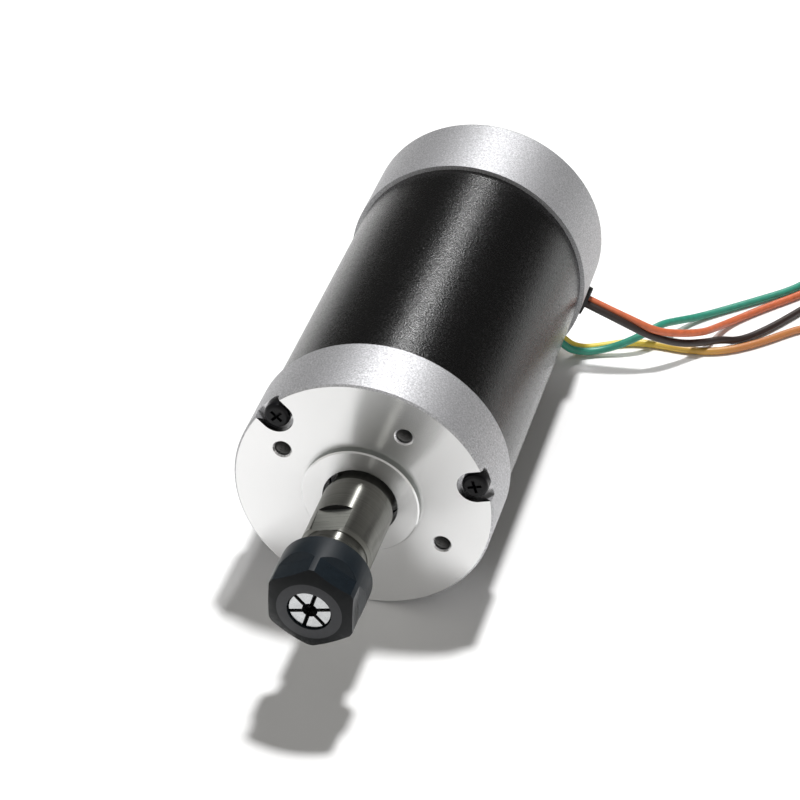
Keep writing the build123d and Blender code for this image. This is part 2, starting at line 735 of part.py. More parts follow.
routes = {
    "red": [
        from_exit("upper", 1, grommet_start_r), from_exit("upper", 1, 32.0), above(9.8, 1.2, 11.7),
        above(15.4, 1.6, 9.3), above(20.7, 6.0, 6.8), above(25.0, 11.4, 4.4), above(27.2, 17.9, 1.9),
        above(29.6, 23.8, 0), above(36.7, 32.2, 0), above(44.1, 40.0, 0), above(49.7, 47.2, 0),
        above(53.1, 55.6, 0), above(55.3, 64.6, 0), on_coil("red", coil_turn_r, join_angles["red"]),
    ],
    "black": [
        from_exit("upper", -1, grommet_start_r), from_exit("upper", -1, 31.5), above(9.3, -1.2, 11.9),
        above(14.5, -1.0, 9.7), above(20.9, 2.4, 6.5), above(26.0, 6.7, 4.8), above(29.5, 10.8, 3.6),
        above(33.2, 16.5, 0), above(39.3, 23.8, 0), above(45.1, 33.0, 0), above(49.7, 40.6, 0),
        above(54.9, 46.6, 0), on_coil("black", coil_turn_r, join_angles["black"]),
    ],
    "yellow": [
        from_exit("lower", 1, grommet_start_r), from_exit("lower", 1, 32.0), above(-2.5, 3.1, 0.3),
        above(2.1, 5.8, 0), above(7.4, 9.0, 0), above(13.7, 9.9, 0), above(22.4, 9.3, 0),
        above(30.1, 11.1, 0), above(37.9, 16.9, 0), above(46.2, 25.7, 0), above(53.1, 29.0, 0),
        above(62.1, 28.8, 0), on_coil("yellow", coil_turn_r, join_angles["yellow"]),
    ],
    "green": [
        from_exit("lower", -1, grommet_start_r), from_exit("lower", -1, 32.0), above(-2.1, 1.2, 0.5),
        above(3.0, 3.6, 0.6), above(7.8, 5.3, 2.4), above(12.2, 8.2, 4.2), above(14.8, 12.6, 4.2),
        above(17.9, 18.4, 1.9), above(22.4, 24.3, 0), above(32.9, 33.5, 0), above(43.4, 43.0, 0),
        above(47.3, 51.6, 0), above(48.7, 61.6, 0), above(51.3, 72.6, 0), above(53.5, 86.0, 0),
        on_coil("green", coil_turn_r, join_angles["green"]),
    ],
}


def corner_radii(points):
    """The arc of each corner: 0.45 of the shorter run over the tangent of half the turn."""
    radii = []
    for a, b, c in zip(points, points[1:], points[2:]):
        run_in, run_out = Vector(*b) - Vector(*a), Vector(*c) - Vector(*b)
        half_turn = radians(run_in.get_angle(run_out)) / 2
        radii.append(0.45 * min(run_in.length, run_out.length) / tan(half_turn))
    return radii


for name, points in routes.items():
    radii = corner_radii(points)
    with BuildPart() as lead:
        with BuildLine() as path:
            FilletPolyline(*points, radius=radii)
        with BuildSketch(Plane(path.line @ 0, z_dir=path.line % 0)):
            Circle(lead_d / 2)
        sweep()
    save(lead.part, f"{name}_lead")
    with BuildPart() as coil:
        with BuildSketch(Plane.XY.offset(floor_z)):
            with Locations(coil_centres[name]):
                Circle(coil_turn_r + lead_d / 2)
                Circle(coil_eye_r, mode=Mode.SUBTRACT)
        extrude(amount=lead_d)
    save(coil.part, f"{name}_lead_coil")
    # the rest of the length winds inwards from the join, so the tip leaves the eye where it runs out
    length = sum(edge.length for edge in path.edges())
    end_angle = join_angles[name] - degrees((lead_length - length) / coil_mid_r)
    tip_heading = Vector(1, 0, 0).rotate(Axis.Z, end_angle - tip_turn)
    with BuildPart() as tip:
        with BuildSketch(Plane(on_coil(name, coil_eye_r, end_angle), z_dir=tip_heading)):
            Circle(tip_d / 2)
        extrude(amount=tip_length)
    save(tip.part, f"{name}_lead_tip")
    print(name, "lead: length", round(length, 1), "end angle", round(end_angle % 360, 1),
          "volume ratio", round(lead.part.volume / (pi * lead_d**2 / 4 * length), 4),
          "radii", [round(r, 1) for r in radii])
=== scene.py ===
import math

import bmesh
import bpy
from mathutils import Matrix, Vector


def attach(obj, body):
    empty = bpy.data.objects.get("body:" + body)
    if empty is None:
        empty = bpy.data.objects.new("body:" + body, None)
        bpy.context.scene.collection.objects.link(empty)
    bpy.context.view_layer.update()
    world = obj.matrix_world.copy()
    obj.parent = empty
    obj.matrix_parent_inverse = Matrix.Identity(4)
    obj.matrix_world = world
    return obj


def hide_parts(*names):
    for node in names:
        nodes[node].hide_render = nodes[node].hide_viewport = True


# The motor spindle's looks. Metres; the spindle axis is Y, the nose points to -Y and the mounting face is y = 0.
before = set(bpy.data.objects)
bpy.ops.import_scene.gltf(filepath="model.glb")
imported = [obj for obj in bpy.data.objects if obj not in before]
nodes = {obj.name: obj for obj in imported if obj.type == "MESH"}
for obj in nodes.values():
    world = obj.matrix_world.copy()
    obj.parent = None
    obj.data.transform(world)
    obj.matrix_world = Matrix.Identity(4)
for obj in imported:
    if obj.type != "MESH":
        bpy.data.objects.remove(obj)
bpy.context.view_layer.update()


def on_circle(radius, degrees):
    """The x and z of a point on a circle about the spindle axis."""
    turn = math.radians(degrees)
    return radius * math.cos(turn), radius * math.sin(turn)


# ---------------------------------------------------------------- sizes
# Sizes from part.py, and limits that tell its faces apart.
FLOOR = -0.0275
CAP_RIM_R = 0.0273
TURNED_FACE_R = 0.0271
BOSS_FRONT_Y, BOSS_SIDE_R = -0.0018, 0.0122

TAPPED_HOLES = [on_circle(0.019, -27.5 + 90 * k) for k in range(4)]
TAPPED_R, TAPPED_MOUTH_R = 0.0017, 0.00205
TAPPED_MOUTH_Y, TAPPED_FIRST, TAPPED_LAST = 0.0003, 0.00035, 0.009
TAPPED_PITCH, TAPPED_THREAD_DEPTH = 0.0007, 0.0003

SCREW_POCKETS = [on_circle(0.0245, degrees) for degrees in (17, 137, 257)]
POCKET_R, POCKET_TOP_Y, POCKET_FLOOR_Y = 0.0040, 0.00005, 0.0023

NOSE_END = -0.031098
NOSE_R, NOSE_FIRST, NOSE_LAST = 0.0070, NOSE_END + 0.0004, -0.0219
NOSE_PITCH, NOSE_THREAD_DEPTH = 0.00075, 0.0004
FLAT_FIRST, FLAT_LAST = -0.0200, -0.0128
FLAT_OUT, COLLAR_R = 0.0065, 0.0074
SHOULDER_FIRST, SHOULDER_LAST = -0.0140, -0.0120

NUT_FACE_Y, NUT_CONE_Y = -0.0370, -0.0355
NUT_BORE_R, NUT_MOUTH_R, NUT_ROUND_OUT = 0.0070, 0.0064, 0.0092
NUT_BROKEN_EDGE = 0.00013
COLLET_FRONT_Y, COLLET_MOUTH_R = -0.0360, 0.0041
SLOT_BROKEN_EDGE, SLOT_WALL_OUT, SLOT_EDGE_LEAST = 0.00018, 0.0004, 0.0004


# ---------------------------------------------------------------- camera
LENS_MM, SENSOR_MM = 119.89, 36.0
CAMERA_AT = (0.120616, -0.411340, 0.334623)
CAMERA_RIGHT = (0.964498, 0.264092, 0.0)
CAMERA_UP = (-0.154862, 0.565577, 0.8100)
CAMERA_BACK = (0.213921, -0.781267, 0.5864)


def add_camera():
    """The camera solved from the photograph."""
    data = bpy.data.cameras.new("camera")
    data.lens = LENS_MM
    data.sensor_width = SENSOR_MM
    data.clip_start = 0.01
    data.clip_end = 20.0
    camera = bpy.data.objects.new("camera", data)
    turn = Matrix((CAMERA_RIGHT, CAMERA_UP, CAMERA_BACK)).transposed()
    camera.matrix_world = Matrix.Translation(CAMERA_AT) @ turn.to_4x4()
    bpy.context.collection.objects.link(camera)
    bpy.context.scene.camera = camera


add_camera()


# ---------------------------------------------------------------- materials
def new_material(name, color, metallic=0.0, roughness=0.5, **sockets):
    """A Principled material; returns it with its shader and tree."""
    material = bpy.data.materials.new(name)
    material.use_nodes = True
    tree = material.node_tree
    shader = tree.nodes["Principled BSDF"]
    shader.inputs["Base Color"].default_value = (*color, 1.0)
    shader.inputs["Metallic"].default_value = metallic
    shader.inputs["Roughness"].default_value = roughness
    for key, value in sockets.items():
        shader.inputs[key.replace("_", " ")].default_value = value
    return material, shader, tree


def node(tree, kind, **values):
    """A new node with the given properties, and inputs given by name."""
    made = tree.nodes.new(kind)
    for key, value in values.items():
        if key in made.inputs:
            made.inputs[key].default_value = value
        else:
            setattr(made, key, value)
    return made


def place(tree, stretch=(1.0, 1.0, 1.0)):
    """The object's own coordinates in metres, stretched."""
    where = tree.nodes.new("ShaderNodeTexCoord")
    scaling = tree.nodes.new("ShaderNodeMapping")
    scaling.inputs["Scale"].default_value = stretch
    tree.links.new(where.outputs["Object"], scaling.inputs["Vector"])
    return scaling.outputs["Vector"]


def noise(tree, vector, scale, detail=2.0, roughness=0.5):
    """A noise texture's value."""
    made = node(tree, "ShaderNodeTexNoise", Scale=scale, Detail=detail, Roughness=roughness)
    tree.links.new(vector, made.inputs["Vector"])
    return made.outputs["Fac"]


def spread(tree, value, low, high, to_low, to_high):
    """value mapped from low..high to to_low..to_high."""
    made = tree.nodes.new("ShaderNodeMapRange")
    for key, number in (("From Min", low), ("From Max", high), ("To Min", to_low), ("To Max", to_high)):
        made.inputs[key].default_value = number
    tree.links.new(value, made.inputs["Value"])
    return made.outputs["Result"]


def colours(tree, value, *stops):
    """A colour ramp with (position, colour) stops."""
    ramp = tree.nodes.new("ShaderNodeValToRGB")
    elements = ramp.color_ramp.elements
    while len(elements) < len(stops):
        elements.new(0.5)
    for element, (position, color) in zip(elements, stops):
        element.position = position
        element.color = (*color, 1.0)
    tree.links.new(value, ramp.inputs["Fac"])
    return ramp.outputs["Color"]


def bump(tree, shader, height, distance, strength):
    """Unevenness from a value; distance in metres."""
    made = node(tree, "ShaderNodeBump", Distance=distance, Strength=strength)
    tree.links.new(height, made.inputs["Height"])
    tree.links.new(made.outputs["Normal"], shader.inputs["Normal"])


def grey(value):
    """A neutral colour."""
    return (value, value, value)


def shades(color, dark, bright):
    """A darker and a brighter shade of a colour."""
    return tuple(c * dark for c in color), tuple(min(1.0, c * bright) for c in color)


def blasted_aluminium():
    """Glass-bead blasting: a light grey with a fine sparkle."""
    material, shader, tree = new_material("blasted_aluminium", grey(0.57), metallic=0.85, roughness=0.5)
    where = place(tree)
    grain = noise(tree, where, 2900.0, 3.0, 0.65)
    tree.links.new(
        colours(tree, grain, (0.30, (0.3, 0.3, 0.31)), (0.52, (0.48, 0.48, 0.495)), (0.72, (0.71, 0.71, 0.73))),
        shader.inputs["Base Color"])
    tree.links.new(spread(tree, grain, 0.35, 0.7, 0.6, 0.45), shader.inputs["Roughness"])
    bump(tree, shader, grain, 0.0001, 0.6)
    return material


def swirl(tree, shader):
    """Tool marks run round the spindle axis, so reflections smear square to them."""
    tangent = node(tree, "ShaderNodeTangent", direction_type="RADIAL", axis="Y")
    tree.links.new(tangent.outputs["Tangent"], shader.inputs["Tangent"])
    shader.inputs["Anisotropic Rotation"].default_value = 0.25


def rings(tree, scale):
    """A value that changes only with the distance from the spindle axis."""
    split = tree.nodes.new("ShaderNodeSeparateXYZ")
    tree.links.new(place(tree), split.inputs["Vector"])
    flat = tree.nodes.new("ShaderNodeCombineXYZ")
    tree.links.new(split.outputs["X"], flat.inputs["X"])
    tree.links.new(split.outputs["Z"], flat.inputs["Z"])
    radius = node(tree, "ShaderNodeVectorMath", operation="LENGTH")
    tree.links.new(flat.outputs["Vector"], radius.inputs[0])
    marks = node(tree, "ShaderNodeTexNoise", noise_dimensions="1D", Scale=scale, Detail=2.0)
    tree.links.new(radius.outputs["Value"], marks.inputs["W"])
    return marks.outputs["Fac"]


def turned_aluminium():
    """A faced surface: fine concentric tool marks and a streaked mirror of what stands in front."""
    material, shader, tree = new_material("turned_aluminium", grey(0.83), metallic=1.0, roughness=0.25,
                                          Anisotropic=1.0)
    marks = rings(tree, 9000.0)
    tree.links.new(colours(tree, marks, (0.3, grey(0.79)), (0.7, grey(0.87))), shader.inputs["Base Color"])
    swirl(tree, shader)
    return material


def powder_coat():
    """Black coat with a fine orange-peel grain."""
    material, shader, tree = new_material("black_coat", grey(0.004), roughness=0.25, Specular_IOR_Level=0.36)
    where = place(tree)
    grain = noise(tree, where, 2600.0, 2.0, 0.6)
    tree.links.new(colours(tree, grain, (0.35, grey(0.001)), (0.7, grey(0.004))), shader.inputs["Base Color"])
    tree.links.new(spread(tree, grain, 0.35, 0.65, 0.34, 0.17), shader.inputs["Roughness"])
    bump(tree, shader, grain, 0.00009, 0.7)
    return material


def ground_steel():
    """The ground shaft: dark, with fine marks round it."""
    material, shader, tree = new_material("ground_steel", (0.2, 0.2, 0.18), metallic=1.0, roughness=0.33,
                                          Anisotropic=0.95)
    where = place(tree, (1.0, 90.0, 1.0))
    lines = noise(tree, where, 60.0, 3.0, 0.6)
    tree.links.new(colours(tree, lines, (0.3, (0.16, 0.16, 0.148)), (0.7, (0.22, 0.22, 0.203))),
                   shader.inputs["Base Color"])
    swirl(tree, shader)
    return material


def brushed(name, color, roughness, stretch, scale=60.0, depth=0.000006):
    """Metal with fine lines across the stretched-out axis."""
    material, shader, tree = new_material(name, color, metallic=1.0, roughness=roughness)
    where = place(tree, stretch)
    lines = noise(tree, where, scale, 3.0, 0.6)
    dark, bright = shades(color, 0.86, 1.1)
    tree.links.new(colours(tree, lines, (0.3, dark), (0.7, bright)), shader.inputs["Base Color"])
    tree.links.new(spread(tree, lines, 0.3, 0.7, roughness * 0.85, roughness * 1.2), shader.inputs["Roughness"])
    bump(tree, shader, lines, depth, 0.6)
    return material


def plain(name, color, roughness, metallic=0.0, grain=1500.0, depth=0.00001, specular=0.5):
    """A plain surface with a faint unevenness."""
    material, shader, tree = new_material(name, color, metallic=metallic, roughness=roughness,
                                          Specular_IOR_Level=specular)
    where = place(tree)
    cloud = noise(tree, where, grain, 2.0)
    dark, bright = shades(color, 0.88, 1.1)
    tree.links.new(colours(tree, cloud, (0.3, dark), (0.7, bright)), shader.inputs["Base Color"])
    bump(tree, shader, cloud, depth, 0.5)
    return material


def blackened(name, color, roughness, specular):
    """The nut's blackening; the cone's darker, duller copy of it is painted shade."""
    return plain(name, color, roughness, grain=900.0, depth=0.000004, specular=specular)


# how far the marks of brushed metal are drawn out along each axis
EVEN, ROUND_AXIS, ACROSS_SHEETS = (1.0, 1.0, 1.0), (1.0, 60.0, 1.0), (1.0, 300.0, 1.0)

CAP = blasted_aluminium()
FACE = turned_aluminium()
TUBE = powder_coat()
STEEL = ground_steel()
NUT = blackened("blackened_nut", (0.008, 0.012, 0.016), 0.24, 0.3)
NUT_ROUND = blackened("blackened_nut_round", (0.006, 0.010, 0.014), 0.46, 0.2)
# painted shade: the cone round the nut's face is a darker, duller copy of the blackening, as if in shade
NUT_CONE_SHADE = blackened("blackened_nut_cone_painted_shade", (0.004, 0.005, 0.006), 0.4, 0.18)
NUT_FACE = plain("worn_nut_face", (0.02, 0.021, 0.025), 0.36, depth=0.000006, specular=0.4)
COLLET = brushed("collet_steel", (0.55, 0.56, 0.57), 0.26, EVEN, 900.0)
SCREW = plain("black_oxide", (0.003, 0.003, 0.004), 0.3, specular=0.2)
POCKET = plain("milled_aluminium", (0.55, 0.55, 0.56), 0.22, metallic=1.0)
# painted shade: the walls of the tapped holes are a much darker grey than the bell round them, as if in shade
TAPPED_SHADE = plain("tapped_hole_painted_shade", (0.26, 0.26, 0.26), 0.4, metallic=1.0)
# painted shade and painted reflection: the boss's side wall is dark grey, not aluminium, for the shade it stands
# in and the dark nut it mirrors
BOSS_SIDE_SHADE = plain("boss_side_painted_shade", (0.2, 0.21, 0.2), 0.3, metallic=1.0)
MILLED = brushed("milled_steel", (0.45, 0.46, 0.43), 0.3, ROUND_AXIS)
# painted shade: near black for faces in shade, on the wrench flats' shoulder and round the collet's mouth
SHADOWED = plain("painted_shade_steel", (0.01, 0.01, 0.01), 0.5, specular=0.12)
BEARING = brushed("bearing_steel", (0.6, 0.6, 0.6), 0.12, ROUND_AXIS)
PRESSED = brushed("pressed_steel", (0.5, 0.5, 0.5), 0.35, EVEN, 1200.0)
SPRING = plain("spring_steel", (0.012, 0.012, 0.013), 0.55, specular=0.15)
LAMINATE = brushed("laminations", (0.25, 0.25, 0.26), 0.5, ACROSS_SHEETS, 20.0, 0.00004)
INSULATOR = plain("insulator", (0.8, 0.77, 0.68), 0.5)
COPPER = brushed("enamelled_copper", (0.75, 0.3, 0.12), 0.28, EVEN, 1600.0, 0.00008)
BOARD = plain("board", (0.02, 0.16, 0.06), 0.4)
MAGNET = brushed("magnet_nickel", (0.62, 0.6, 0.56), 0.2, EVEN, 700.0)
BRASS = brushed("brass", (0.7, 0.5, 0.2), 0.3, ROUND_AXIS)
RUBBER = plain("grommet_rubber", (0.015, 0.015, 0.015), 0.55)
TINNED = plain("tinned_copper", (0.68, 0.67, 0.66), 0.3, metallic=1.0, grain=4000.0, depth=0.00003)

node_materials = {
    "front_bell": CAP, "rear_cap": CAP, "stator_tube": TUBE,
    "front_cap_screws": SCREW, "rear_cap_screws": SCREW,
    "spindle_shaft": STEEL, "collet_nut": NUT, "collet": COLLET,
    "stator_core": LAMINATE, "rotor_core": LAMINATE,
    "front_insulator": INSULATOR, "rear_insulator": INSULATOR,
    "stator_coils": COPPER, "lead_board": BOARD,
    "rotor_magnets": MAGNET, "rotor_sleeve": PRESSED, "rotor_end_rings": BRASS,
    "bell_circlip": SPRING, "shaft_circlip": SPRING, "preload_spring": SPRING,
    "upper_grommet": RUBBER, "lower_grommet": RUBBER,
}
for end in ("front", "rear"):
    for piece in ("outer_ring", "inner_ring", "balls"):
        node_materials[f"{end}_bearing_{piece}"] = BEARING
    for piece in ("cage", "shields"):
        node_materials[f"{end}_bearing_{piece}"] = PRESSED


def dress(obj, material):
    """One material on the whole of an object."""
    obj.data.materials.clear()
    obj.data.materials.append(material)


def paint_faces(obj, material, chosen):
    """A further material on the faces for which chosen(face) is true."""
    obj.data.materials.append(material)
    index = len(obj.data.materials) - 1
    for polygon in obj.data.polygons:
        if chosen(polygon):
            polygon.material_index = index


for name, material in node_materials.items():
    dress(nodes[name], material)


# ---------------------------------------------------------------- machined detail
def open_copy(node_name, name):
    """A copy of a piece in the piece's place, with its mesh open for finer modelling."""
    source = nodes[node_name]
    made = bpy.data.objects.new(name, source.data.copy())
    made.matrix_world = source.matrix_world
    bpy.context.collection.objects.link(made)
    bm = bmesh.new()
    bm.from_mesh(made.data)
    return made, bm


def finish_copy(made, bm, body, node_name):
    """Close a copy's mesh, and let it ride on its body in the piece's stead."""
    bm.to_mesh(made.data)
    bm.free()
    made.data.shade_smooth()
    made.data.set_sharp_from_angle(angle=math.radians(28))
    dress(made, node_materials[node_name])
    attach(made, body)
    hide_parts(node_name)


def join_facets(bm):
    """Join the triangles of each flat face, so that its edges can be broken."""
    bmesh.ops.remove_doubles(bm, verts=bm.verts, dist=1e-7)
    bmesh.ops.dissolve_limit(bm, angle_limit=math.radians(0.5), verts=bm.verts, edges=bm.edges)


def off_axis(point, centre=(0.0, 0.0)):
    """How far a point lies from an axis along Y."""
    return math.hypot(point.x - centre[0], point.z - centre[1])


def facing_out(point, normal):
    """How far the plane of a face lies from the spindle axis."""
    return point.x * normal.x + point.z * normal.z


THREAD_SIDES, ROWS_PER_PITCH = 48, 10
WALL_NEAR, END_NEAR = 0.00002, 1e-5


def cut_thread(bm, centre, radius, depth, pitch, first_y, last_y):
    """Swap a cylinder's wall for a helical thread; depth is outwards from the radius."""
    wall = [face for face in bm.faces
            if all(abs(off_axis(v.co, centre) - radius) < WALL_NEAR
                   and first_y - END_NEAR < v.co.y < last_y + END_NEAR for v in face.verts)]
    bmesh.ops.delete(bm, geom=wall, context="FACES_ONLY")
    along = round((last_y - first_y) / pitch * ROWS_PER_PITCH)
    rows = []
    for k in range(along + 1):
        y = first_y + (last_y - first_y) * k / along
        ends = min(1.0, (y - first_y) / pitch, (last_y - y) / pitch)
        row = []
        for j in range(THREAD_SIDES):
            share = (y / pitch + j / THREAD_SIDES) % 1.0
            r = radius + depth * ends * (1 - abs(2 * share - 1))
            turn = 2 * math.pi * j / THREAD_SIDES
            row.append(bm.verts.new((centre[0] + r * math.cos(turn), y, centre[1] + r * math.sin(turn))))
        rows.append(row)
    for low, high in zip(rows, rows[1:]):
        for j in range(THREAD_SIDES):
            n = (j + 1) % THREAD_SIDES
            quad = (low[j], low[n], high[n], high[j])
            bm.faces.new(quad if depth > 0 else quad[::-1])


def break_outer_edges(bm, width, least_r):
    """Break the sharp edges that lie outside a radius."""
    sharp = [edge for edge in bm.edges if len(edge.link_faces) == 2
             and edge.calc_face_angle() > math.radians(20)
             and all(off_axis(v.co) > least_r for v in edge.verts)]
    bmesh.ops.bevel(bm, geom=sharp, offset=width, offset_type="OFFSET", segments=2, profile=0.5,
                    affect="EDGES", clamp_overlap=True)


def break_slot_edges(bm, width):
    """Break the edges where the slots come out on the collet's front."""
    front_y = min(v.co.y for v in bm.verts)
    edges = []
    for edge in bm.edges:
        if len(edge.link_faces) != 2 or any(v.co.y > front_y + 1e-6 for v in edge.verts):
            continue
        walls = [face for face in edge.link_faces if abs(face.normal.y) < 0.1]
        if not walls or edge.calc_length() <= SLOT_EDGE_LEAST:
            continue
        middle = (edge.verts[0].co + edge.verts[1].co) / 2
        if abs(facing_out(middle, walls[0].normal)) < SLOT_WALL_OUT:
            edges.append(edge)
    bmesh.ops.bevel(bm, geom=edges, offset=width, offset_type="OFFSET", segments=1, affect="EDGES")


threaded_shaft, bm = open_copy("spindle_shaft", "threaded_shaft")
cut_thread(bm, (0.0, 0.0), NOSE_R, -NOSE_THREAD_DEPTH, NOSE_PITCH, NOSE_FIRST, NOSE_LAST)
finish_copy(threaded_shaft, bm, "spindle", "spindle_shaft")

tapped_bell, bm = open_copy("front_bell", "tapped_bell")
for hole in TAPPED_HOLES:
    cut_thread(bm, hole, TAPPED_R, TAPPED_THREAD_DEPTH, TAPPED_PITCH, TAPPED_FIRST, TAPPED_LAST)
finish_copy(tapped_bell, bm, "housing", "front_bell")

worn_nut, bm = open_copy("collet_nut", "worn_nut")
join_facets(bm)
break_outer_edges(bm, NUT_BROKEN_EDGE, NUT_BORE_R)
finish_copy(worn_nut, bm, "nut", "collet_nut")

slotted_collet, bm = open_copy("collet", "slotted_collet")
join_facets(bm)
break_slot_edges(bm, SLOT_BROKEN_EDGE)
finish_copy(slotted_collet, bm, "spindle", "collet")


# ---------------------------------------------------------------- faces with a finish of their own, and faces with painted shade
def on_turned_face(face):
    return face.center.y < 0.0002 and off_axis(face.center) < TURNED_FACE_R


def in_pocket(face):
    """The wall and floor of the three screw pockets in the front face."""
    at = face.center
    return (POCKET_TOP_Y < at.y < POCKET_FLOOR_Y and off_axis(at) < CAP_RIM_R
            and any(off_axis(at, pocket) < POCKET_R for pocket in SCREW_POCKETS))


def in_tapped_hole(face):
    at = face.center
    return at.y > TAPPED_MOUTH_Y and any(off_axis(at, hole) < TAPPED_MOUTH_R for hole in TAPPED_HOLES)


def on_boss_side(face):
    return (BOSS_FRONT_Y < face.center.y < 0.0 and abs(face.normal.y) < 0.3
            and facing_out(face.center, face.normal) > BOSS_SIDE_R)


def on_wrench_flat(face):
    at, normal = face.center, face.normal
    return (abs(normal.y) < 0.01 and abs(facing_out(at, normal) - FLAT_OUT) < 1e-5
            and FLAT_FIRST < at.y < FLAT_LAST and off_axis(at) < COLLAR_R)


def on_flat_shoulder(face):
    return face.normal.y < -0.9 and SHOULDER_FIRST < face.center.y < SHOULDER_LAST


def on_nut_face(face):
    return face.center.y < NUT_FACE_Y and face.normal.y < -0.97


def on_nut_cone(face):
    """The sloped ring round the nut's face, outside its mouth."""
    return (face.center.y < NUT_CONE_Y and -0.97 <= face.normal.y < -0.80
            and off_axis(face.center) > NUT_MOUTH_R)


def on_nut_round(face):
    """The rounds between the nut's flats."""
    return abs(face.normal.y) < 0.9 and facing_out(face.center, face.normal) > NUT_ROUND_OUT


# painted shade: the collet's mouth and the broken slot edges near it are coloured near black, as if in shade
def in_collet_mouth(face):
    return (face.center.y < COLLET_FRONT_Y and -0.9 < face.normal.y < -0.3
            and off_axis(face.center) < COLLET_MOUTH_R)


# where two finishes or painted shades meet on a face, the later one counts
for obj, material, chosen in (
    (tapped_bell, FACE, on_turned_face),
    (tapped_bell, POCKET, in_pocket),
    # painted shade inside the tapped holes
    (tapped_bell, TAPPED_SHADE, in_tapped_hole),
    # painted shade on the boss's side wall
    (tapped_bell, BOSS_SIDE_SHADE, on_boss_side),
    (threaded_shaft, MILLED, on_wrench_flat),
    # painted shade on the shoulder at the end of the wrench flats
    (threaded_shaft, SHADOWED, on_flat_shoulder),
    (worn_nut, NUT_FACE, on_nut_face),
    # painted shade on the nut's cone
    (worn_nut, NUT_CONE_SHADE, on_nut_cone),
    (worn_nut, NUT_ROUND, on_nut_round),
    # painted shade in the collet's mouth and on the broken slot edges near it
    (slotted_collet, SHADOWED, in_collet_mouth),
):
    paint_faces(obj, material, chosen)


# ---------------------------------------------------------------- leads
LEAD_D = 0.0018
LEAD_Z = FLOOR + LEAD_D / 2
LEAD_LENGTH = 0.300
COIL_MID_R, COIL_TURN_R, COIL_EYE_R = 0.0100, 0.0127, 0.0064
COIL_X, COIL_FIRST_Y, COIL_PITCH = 0.0970, 0.1120, 0.0280
COIL_ORDER = ("yellow", "black", "red", "green")
COIL_STEPS = 16

# name: exit at the grommet, angle at which it joins its coil, length before the coil, route points
leads = {
    "red": ((0.02624, 0.09905, -0.01060), 165, 0.1081, [
        (0.02272, 0.09905, -0.00918), (0.02967, 0.09905, -0.01199), (0.0373, 0.0992, -0.0149),
        (0.0429, 0.0996, -0.0173), (0.0482, 0.1040, -0.0198), (0.0525, 0.1094, -0.0222), (0.0547, 0.1159, -0.0247),
        (0.0571, 0.1218, LEAD_Z), (0.0642, 0.1302, LEAD_Z), (0.0716, 0.1380, LEAD_Z), (0.0772, 0.1452, LEAD_Z),
        (0.0806, 0.1536, LEAD_Z), (0.0828, 0.1626, LEAD_Z),
    ]),
    "black": ((0.02624, 0.09695, -0.01060), 130, 0.0939, [
        (0.02272, 0.09695, -0.00918), (0.02921, 0.09695, -0.01180), (0.0365, 0.0979, -0.0155),
        (0.0414, 0.0991, -0.0185), (0.0476, 0.1033, -0.0223), (0.0526, 0.1082, -0.0244), (0.0563, 0.1112, -0.0248),
        (0.0607, 0.1145, LEAD_Z), (0.0668, 0.1218, LEAD_Z), (0.0726, 0.1310, LEAD_Z), (0.0772, 0.1386, LEAD_Z),
        (0.0824, 0.1446, LEAD_Z),
    ]),
    "yellow": ((0.01894, 0.09905, -0.02103), 80, 0.0945, [
        (0.01639, 0.09905, -0.01821), (0.02141, 0.09905, -0.02378), (0.0250, 0.1011, -0.0263),
        (0.0296, 0.1038, LEAD_Z), (0.0349, 0.1070, LEAD_Z), (0.0412, 0.1079, LEAD_Z), (0.0499, 0.1073, LEAD_Z),
        (0.0576, 0.1091, LEAD_Z), (0.0654, 0.1149, LEAD_Z), (0.0737, 0.1237, LEAD_Z), (0.0806, 0.1270, LEAD_Z),
        (0.0896, 0.1268, LEAD_Z),
    ]),
    "green": ((0.01894, 0.09695, -0.02103), 170, 0.1354, [
        (0.01639, 0.09695, -0.01821), (0.02141, 0.09695, -0.02378), (0.0254, 0.0992, -0.0261),
        (0.0305, 0.1016, -0.0260), (0.0353, 0.1033, -0.0242), (0.0397, 0.1062, -0.0224), (0.0423, 0.1106, -0.0224),
        (0.0454, 0.1164, -0.0247), (0.0499, 0.1223, LEAD_Z), (0.0604, 0.1315, LEAD_Z), (0.0709, 0.1410, LEAD_Z),
        (0.0748, 0.1496, LEAD_Z), (0.0762, 0.1596, LEAD_Z), (0.0788, 0.1706, LEAD_Z), (0.0810, 0.1840, LEAD_Z),
    ]),
}
lead_colors = {
    "red": (0.55, 0.13, 0.05),
    "black": (0.024, 0.014, 0.012),
    "yellow": (0.72, 0.56, 0.07),
    "green": (0.03, 0.26, 0.18),
}
FAR_YELLOW, TURNS_FIRST_X, TURNS_LAST_X = (0.45, 0.17, 0.05), 0.034, 0.062


def coil_points(name, start_angle, before):
    """The lead's unseen length: a flat clockwise spiral inwards, then one point in its eye."""
    centre_y = COIL_FIRST_Y + COIL_PITCH * COIL_ORDER.index(name)
    turns = (LEAD_LENGTH - before) / (2 * math.pi * COIL_MID_R)
    steps = round(turns * COIL_STEPS)

    def at(radius, angle):
        return COIL_X + radius * math.cos(angle), centre_y + radius * math.sin(angle), LEAD_Z

    points = [at(COIL_TURN_R - LEAD_D * turns * k / steps, math.radians(start_angle - 360 * turns * k / steps))
              for k in range(steps + 1)]
    return points + [at(COIL_EYE_R, math.radians(start_angle - 360 * turns))]


def insulation(name):
    """Plain coloured plastic; the yellow lead turns brownish orange where the blurred photo shows it so."""
    material = plain(f"insulation_{name}", lead_colors[name], 0.38, grain=700.0)
    if name == "yellow":
        tree = material.node_tree
        split = tree.nodes.new("ShaderNodeSeparateXYZ")
        tree.links.new(place(tree), split.inputs["Vector"])
        along = spread(tree, split.outputs["X"], TURNS_FIRST_X, TURNS_LAST_X, 0.0, 1.0)
        tree.links.new(colours(tree, along, (0.0, lead_colors[name]), (1.0, FAR_YELLOW)),
                       tree.nodes["Principled BSDF"].inputs["Base Color"])
    return material


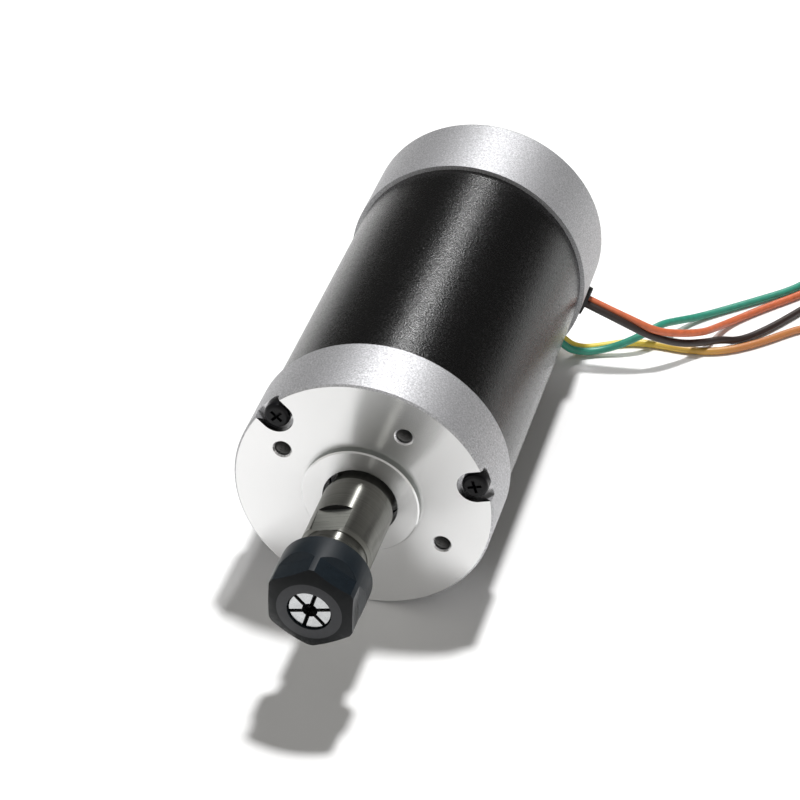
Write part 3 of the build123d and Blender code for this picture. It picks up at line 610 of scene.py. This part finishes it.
def add_lead(name):
    """A lead from its grommet along its route into its coil."""
    exit_point, start_angle, before, route = leads[name]
    data = bpy.data.curves.new(f"{name}_wire", "CURVE")
    data.dimensions = "3D"
    data.bevel_depth = LEAD_D / 2
    data.bevel_resolution = 6
    data.use_fill_caps = True
    spline = data.splines.new("NURBS")
    points = route + coil_points(name, start_angle, before)
    spline.points.add(len(points) - 1)
    for point, where in zip(spline.points, points):
        point.co = (*where, 1.0)
    spline.order_u = 3
    spline.use_endpoint_u = True
    spline.resolution_u = 8
    wire = bpy.data.objects.new(f"{name}_wire", data)
    bpy.context.collection.objects.link(wire)
    dress(wire, insulation(name))
    dress(nodes[f"{name}_lead_tip"], TINNED)
    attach(wire, "housing")
    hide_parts(f"{name}_lead", f"{name}_lead_coil")


for name in leads:
    dress(nodes[f"{name}_lead"], RUBBER)
    dress(nodes[f"{name}_lead_coil"], RUBBER)
    add_lead(name)


# ---------------------------------------------------------------- floor and light
def add_floor():
    """A plain pale floor just under the part."""
    bpy.ops.mesh.primitive_plane_add(size=6.0, location=(0.0, 0.0, FLOOR - 0.00005))
    floor = bpy.context.object
    floor.name = "floor"
    floor.data.materials.append(
        new_material("floor", (0.93, 0.93, 0.93), roughness=0.5, Specular_IOR_Level=0.25)[0])


AIM = (0.0, 0.03, 0.0)


def add_light(name, place_at, width, height, power):
    """A soft oval lamp that faces the part."""
    data = bpy.data.lights.new(name, "AREA")
    data.shape = "ELLIPSE"
    data.size = width
    data.size_y = height
    data.energy = power
    light = bpy.data.objects.new(name, data)
    direction = Vector(AIM) - Vector(place_at)
    light.rotation_mode = "QUATERNION"
    light.rotation_quaternion = direction.to_track_quat("-Z", "Y")
    light.location = place_at
    bpy.context.collection.objects.link(light)


def add_world():
    """White where the camera sees it; for all else a room that is pale in front and dim behind."""
    world = bpy.data.worlds.new("world")
    bpy.context.scene.world = world
    world.use_nodes = True
    tree = world.node_tree
    background = tree.nodes["Background"]
    background.inputs["Color"].default_value = (1.0, 0.985, 0.95, 1.0)
    where = tree.nodes.new("ShaderNodeTexCoord")
    split = tree.nodes.new("ShaderNodeSeparateXYZ")
    tree.links.new(where.outputs["Generated"], split.inputs["Vector"])
    front = node(tree, "ShaderNodeMath", operation="MULTIPLY")
    tree.links.new(spread(tree, split.outputs["Z"], 0.0, 1.0, 0.76, 0.26), front.inputs[0])
    tree.links.new(spread(tree, split.outputs["Y"], -0.3, 0.5, 1.0, 0.1), front.inputs[1])
    total = node(tree, "ShaderNodeMath", operation="ADD")
    tree.links.new(front.outputs["Value"], total.inputs[0])
    tree.links.new(spread(tree, split.outputs["X"], -1.0, -0.4, 0.16, 0.0), total.inputs[1])
    tree.links.new(total.outputs["Value"], background.inputs["Strength"])
    seen = node(tree, "ShaderNodeBackground", Color=(1.0, 1.0, 1.0, 1.0), Strength=1.0)
    ray = tree.nodes.new("ShaderNodeLightPath")
    mix = tree.nodes.new("ShaderNodeMixShader")
    tree.links.new(ray.outputs["Is Camera Ray"], mix.inputs["Fac"])
    tree.links.new(background.outputs["Background"], mix.inputs[1])
    tree.links.new(seen.outputs["Background"], mix.inputs[2])
    tree.links.new(mix.outputs["Shader"], tree.nodes["World Output"].inputs["Surface"])


add_floor()
add_light("key", (0.073, 0.291, 1.0), width=0.1, height=0.1, power=10.5)
add_light("strip behind", (-0.013, 0.936, 0.897), width=0.08, height=0.40, power=4.5)
add_world()
bpy.context.scene.view_settings.view_transform = "Standard"
